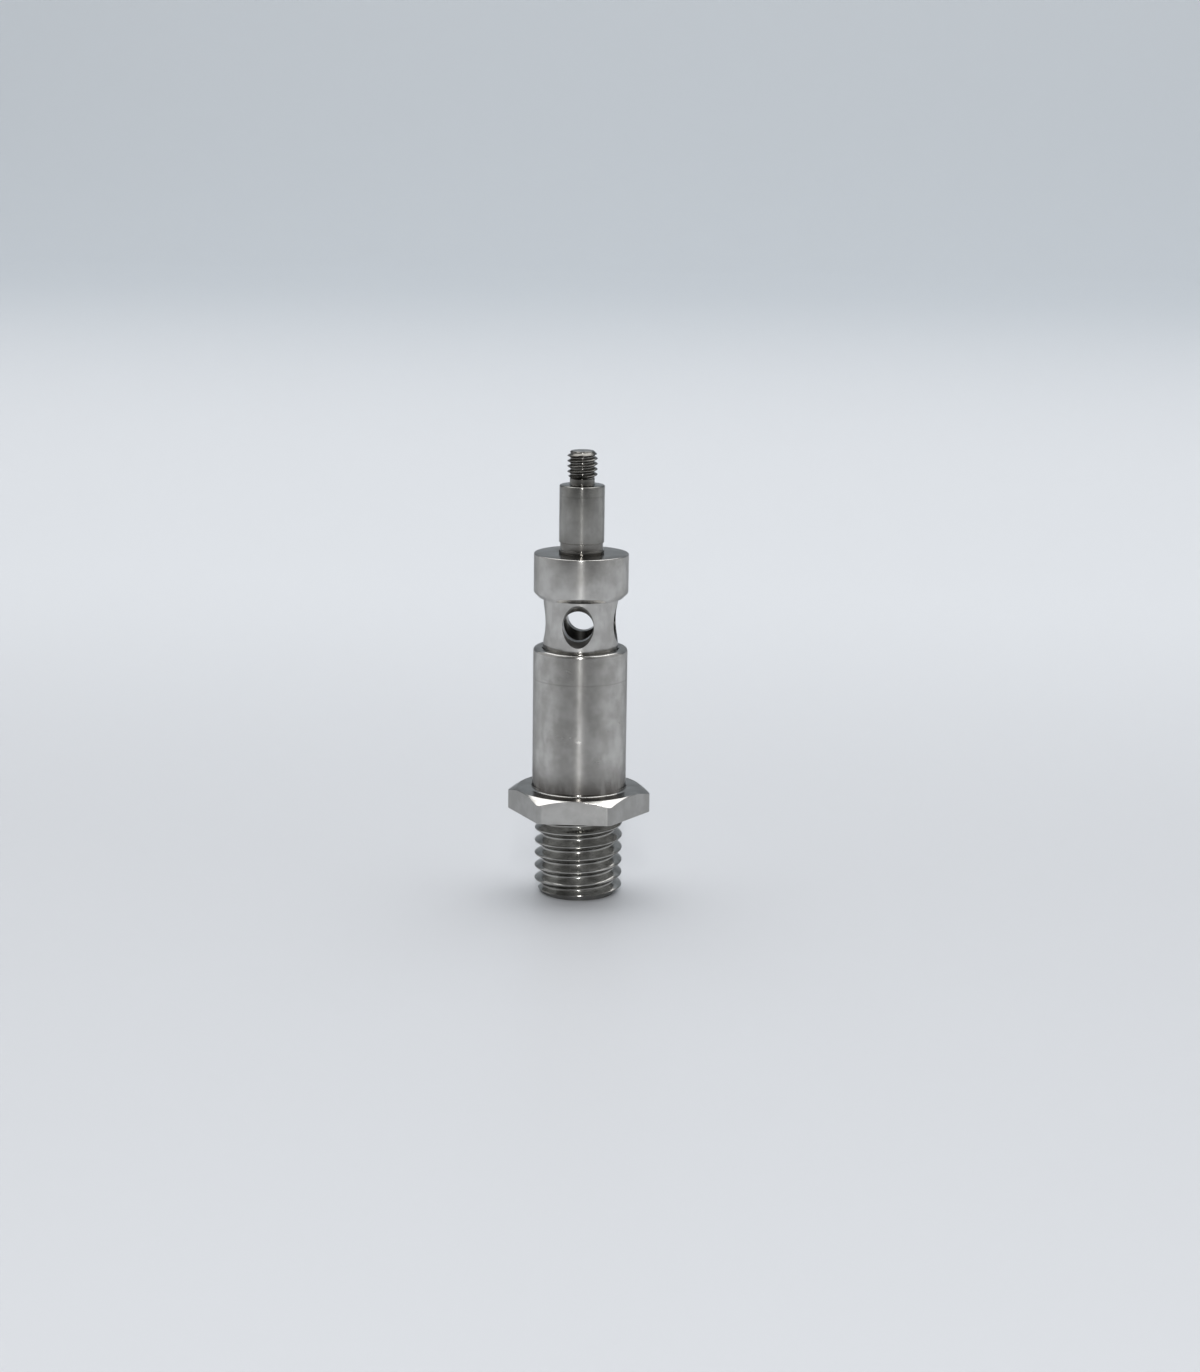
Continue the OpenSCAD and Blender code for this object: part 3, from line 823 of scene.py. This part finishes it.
def makePellet(s):
    start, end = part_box("locking_pellet")
    level = (start[2] + end[2]) / 2
    radius, length = (end[1] - start[1]) / 2 / mm, (end[0] - start[0]) / mm
    bm = bmesh.new()
    turn(bm, outline([(0, 0), (radius, 0, s["innerRound"]), (radius, length, s["outerRound"]),
                      (0, length)]), s["columns"])
    bmesh.ops.transform(bm, verts=bm.verts,
                        matrix=Matrix.Translation((start[0], 0, level)) @ Matrix.Rotation(pi / 2, 4, "Y"))
    return finishPiece("lockingPellet", bm, ["naturalNylon"], "head", ["locking_pellet"])


makeVentHead(head)
makeOring(ring)
makePellet(pellet)


# sizes of the stem and its stud, mm
stem = dict(width=6, stud=4, pitch=0.7, phase=0.6, studLength=4.5, relief=0.9, reliefWidth=3.3,
            reliefEnd=0.1, foot=0.5, grooveHeight=1.0, grooveDepth=0.16, shank=3.6, length=9.1,
            topBreak=0.5, columns=192)


def makeStem(s):
    bottom, top = low("stem"), high("stem")
    studLow = top - s["studLength"]
    seatLevel = studLow - s["length"]
    stemRadius, stud, shank = s["width"] / 2, s["stud"] / 2, s["shank"] / 2
    root = stud - threadShare * s["pitch"]
    neck = s["reliefWidth"] / 2
    grooveLow = seatLevel + s["foot"]
    grooveHigh = grooveLow + s["grooveHeight"]
    inner = stemRadius - s["grooveDepth"]
    threadLow = studLow + s["relief"]
    topRadius = stud - s["topBreak"]
    bm = bmesh.new()
    turn(bm, outline([(0, bottom), (shank, bottom, 0.2), (shank, seatLevel), (stemRadius, seatLevel, 0.06),
                      (stemRadius, grooveLow, 0.05), (inner, grooveLow, 0.05), (inner, grooveHigh, 0.05),
                      (stemRadius, grooveHigh, 0.05), (stemRadius, studLow, 0.2), (neck, studLow, 0.15),
                      (neck, threadLow - s["reliefEnd"]), (root, threadLow)]), s["columns"])
    threadBand(bm, dict(low=threadLow, high=top, crest=stud, pitch=s["pitch"], shift=s["phase"],
                        lowRadius=root, lowSlope=1.2, highRadius=topRadius, highSlope=1.0), s["columns"])
    turn(bm, [(topRadius, top), (0, top)], s["columns"])

    def finishOf(face):
        middle = face.calc_center_median() / mm
        return 1 if studLow + 0.02 < middle.z < top - 0.02 else 0

    return finishPiece("stemStud", bm, ["stem", "stud"], "head", ["stem"], finishOf)


makeStem(stem)


# the floor's sizes in metres, its colours from front to back, and where along y they blend; the colours
# are painted light and shade: darkest in front as a painted camera shadow, darker under the valve, palest
# just behind it, darker far back and pale again far in front
room = dict(reach=3.0, back=1.4, bend=0.8, bendSteps=24, rise=1.6, front=(0.42, 0.425, 0.43, 1),
            near=(0.63, 0.645, 0.672, 1), middle=(0.765, 0.785, 0.815, 1), far=(0.58, 0.62, 0.66, 1),
            rough=0.45, middleRange=(0.0, 0.25), farRange=(0.4, 1.3), frontRange=(-0.32, -0.13),
            paleRange=(-1.0, -1.6))


# a pale sheet that lies flat under the valve and curves up well behind it
def makeFloor(s):
    profile = [(-s["reach"], 0), (s["back"], 0)]
    for k in range(1, s["bendSteps"] + 1):
        a = pi / 2 * k / s["bendSteps"]
        profile.append((s["back"] + s["bend"] * sin(a), s["bend"] * (1 - cos(a))))
    profile.append((s["back"] + s["bend"], s["bend"] + s["rise"]))
    bm = bmesh.new()
    rows = [[bm.verts.new((side * s["reach"], y, z)) for side in (-1, 1)] for y, z in profile]
    for here, there in zip(rows, rows[1:]):
        bm.faces.new((here[0], here[1], there[1], there[0])).smooth = True
    mesh = bpy.data.meshes.new("floor")
    bm.to_mesh(mesh)
    bm.free()
    floor = bpy.data.objects.new("floor", mesh)
    bpy.context.scene.collection.objects.link(floor)
    material, graph = startMaterial("paleFloor")
    place = graph.parts(graph.node("ShaderNodeTexCoord", out=3))
    # painted light and shade on the floor: a dark front for the camera's shadow, then darker under the
    # valve, palest behind it and darker far back
    colour = graph.blend(place[1].ramp(*s["middleRange"]), s["near"], s["middle"])
    colour = graph.blend(place[1].ramp(*s["farRange"]), colour, s["far"])
    colour = graph.blend(place[1].ramp(*s["frontRange"]), s["front"], colour)
    colour = graph.blend(place[1].ramp(*s["paleRange"]), colour, s["middle"])
    finishMaterial(graph, {"Base Color": colour}, {"Roughness": s["rough"]})
    mesh.materials.append(material)


# how bright the room is round the valve: dim in front, brighter at the sides and behind
sky = dict(tint=(0.97, 0.985, 1.0, 1), dim=0.17, side=0.36, sideRange=(-0.95, -0.3), back=0.2,
           backRange=(0.2, 0.95))


def makeWorld(s):
    world = bpy.data.worlds.new("studio")
    bpy.context.scene.world = world
    world.use_nodes = True
    world.node_tree.nodes.clear()
    graph = Graph(world.node_tree)
    x, y, _ = graph.parts(graph.node("ShaderNodeTexCoord", out=0))
    bearing = y / (x * x + y * y).root()
    glow = s["dim"] + bearing.ramp(*s["sideRange"]) * s["side"] + bearing.ramp(*s["backRange"]) * s["back"]
    colour = graph.blend(glow, (0, 0, 0, 1), s["tint"])
    background = graph.node("ShaderNodeBackground", {}, {"Color": colour, "Strength": 1.0})
    output = graph.tree.nodes.new("ShaderNodeOutputWorld")
    graph.feed(output.inputs[0], background)


# places and sizes in metres: a narrow strip in front, and a wide soft box above and behind
lights = {"frontStrip": dict(place=(0.043, -0.64, 0.36), aim=(0, 0, 0.03), size=(0.010, 0.40), power=1.7),
          "topBox": dict(place=(0, 0.9, 2.2), aim=(0, 0.5, 0), size=(3.0, 2.4), power=42)}


def areaLight(name, place, aim, size, power):
    data = bpy.data.lights.new(name, "AREA")
    data.shape, data.size, data.size_y = "RECTANGLE", size[0], size[1]
    data.energy = power
    light = bpy.data.objects.new(name, data)
    light.location = place
    light.rotation_euler = (Vector(aim) - Vector(place)).to_track_quat("-Z", "Y").to_euler()
    bpy.context.scene.collection.objects.link(light)


# where the camera stands and looks, and its lens, mm and degrees
view = dict(azimuth=3.82, elevation=12.05, roll=0.74, distance=361.5, aimHeight=28.48, aimRight=2.68,
            lens=70.84548)


def makeCamera(s):
    a, e, roll = radians(s["azimuth"]), radians(s["elevation"]), radians(s["roll"])
    back = Vector((sin(a) * cos(e), -cos(a) * cos(e), sin(e)))
    right = Vector((cos(a), sin(a), 0))
    up = back.cross(right)
    aim = Vector((0, 0, s["aimHeight"])) + right * s["aimRight"]
    place = (aim + back * s["distance"]) * mm
    turnedRight = right * cos(roll) + up * sin(roll)
    turnedUp = up * cos(roll) - right * sin(roll)
    data = bpy.data.cameras.new("camera")
    data.lens = s["lens"]
    data.clip_start, data.clip_end = 0.01, 20
    camera = bpy.data.objects.new("camera", data)
    turning = Matrix((turnedRight, turnedUp, back)).transposed().to_4x4()
    camera.matrix_world = Matrix.Translation(place) @ turning
    bpy.context.scene.collection.objects.link(camera)
    bpy.context.scene.camera = camera


makeFloor(room)
makeWorld(sky)
for name, light in lights.items():
    areaLight(name, **light)
makeCamera(view)
bpy.context.scene.view_settings.view_transform = "Standard"
print("stage, lights and camera set")
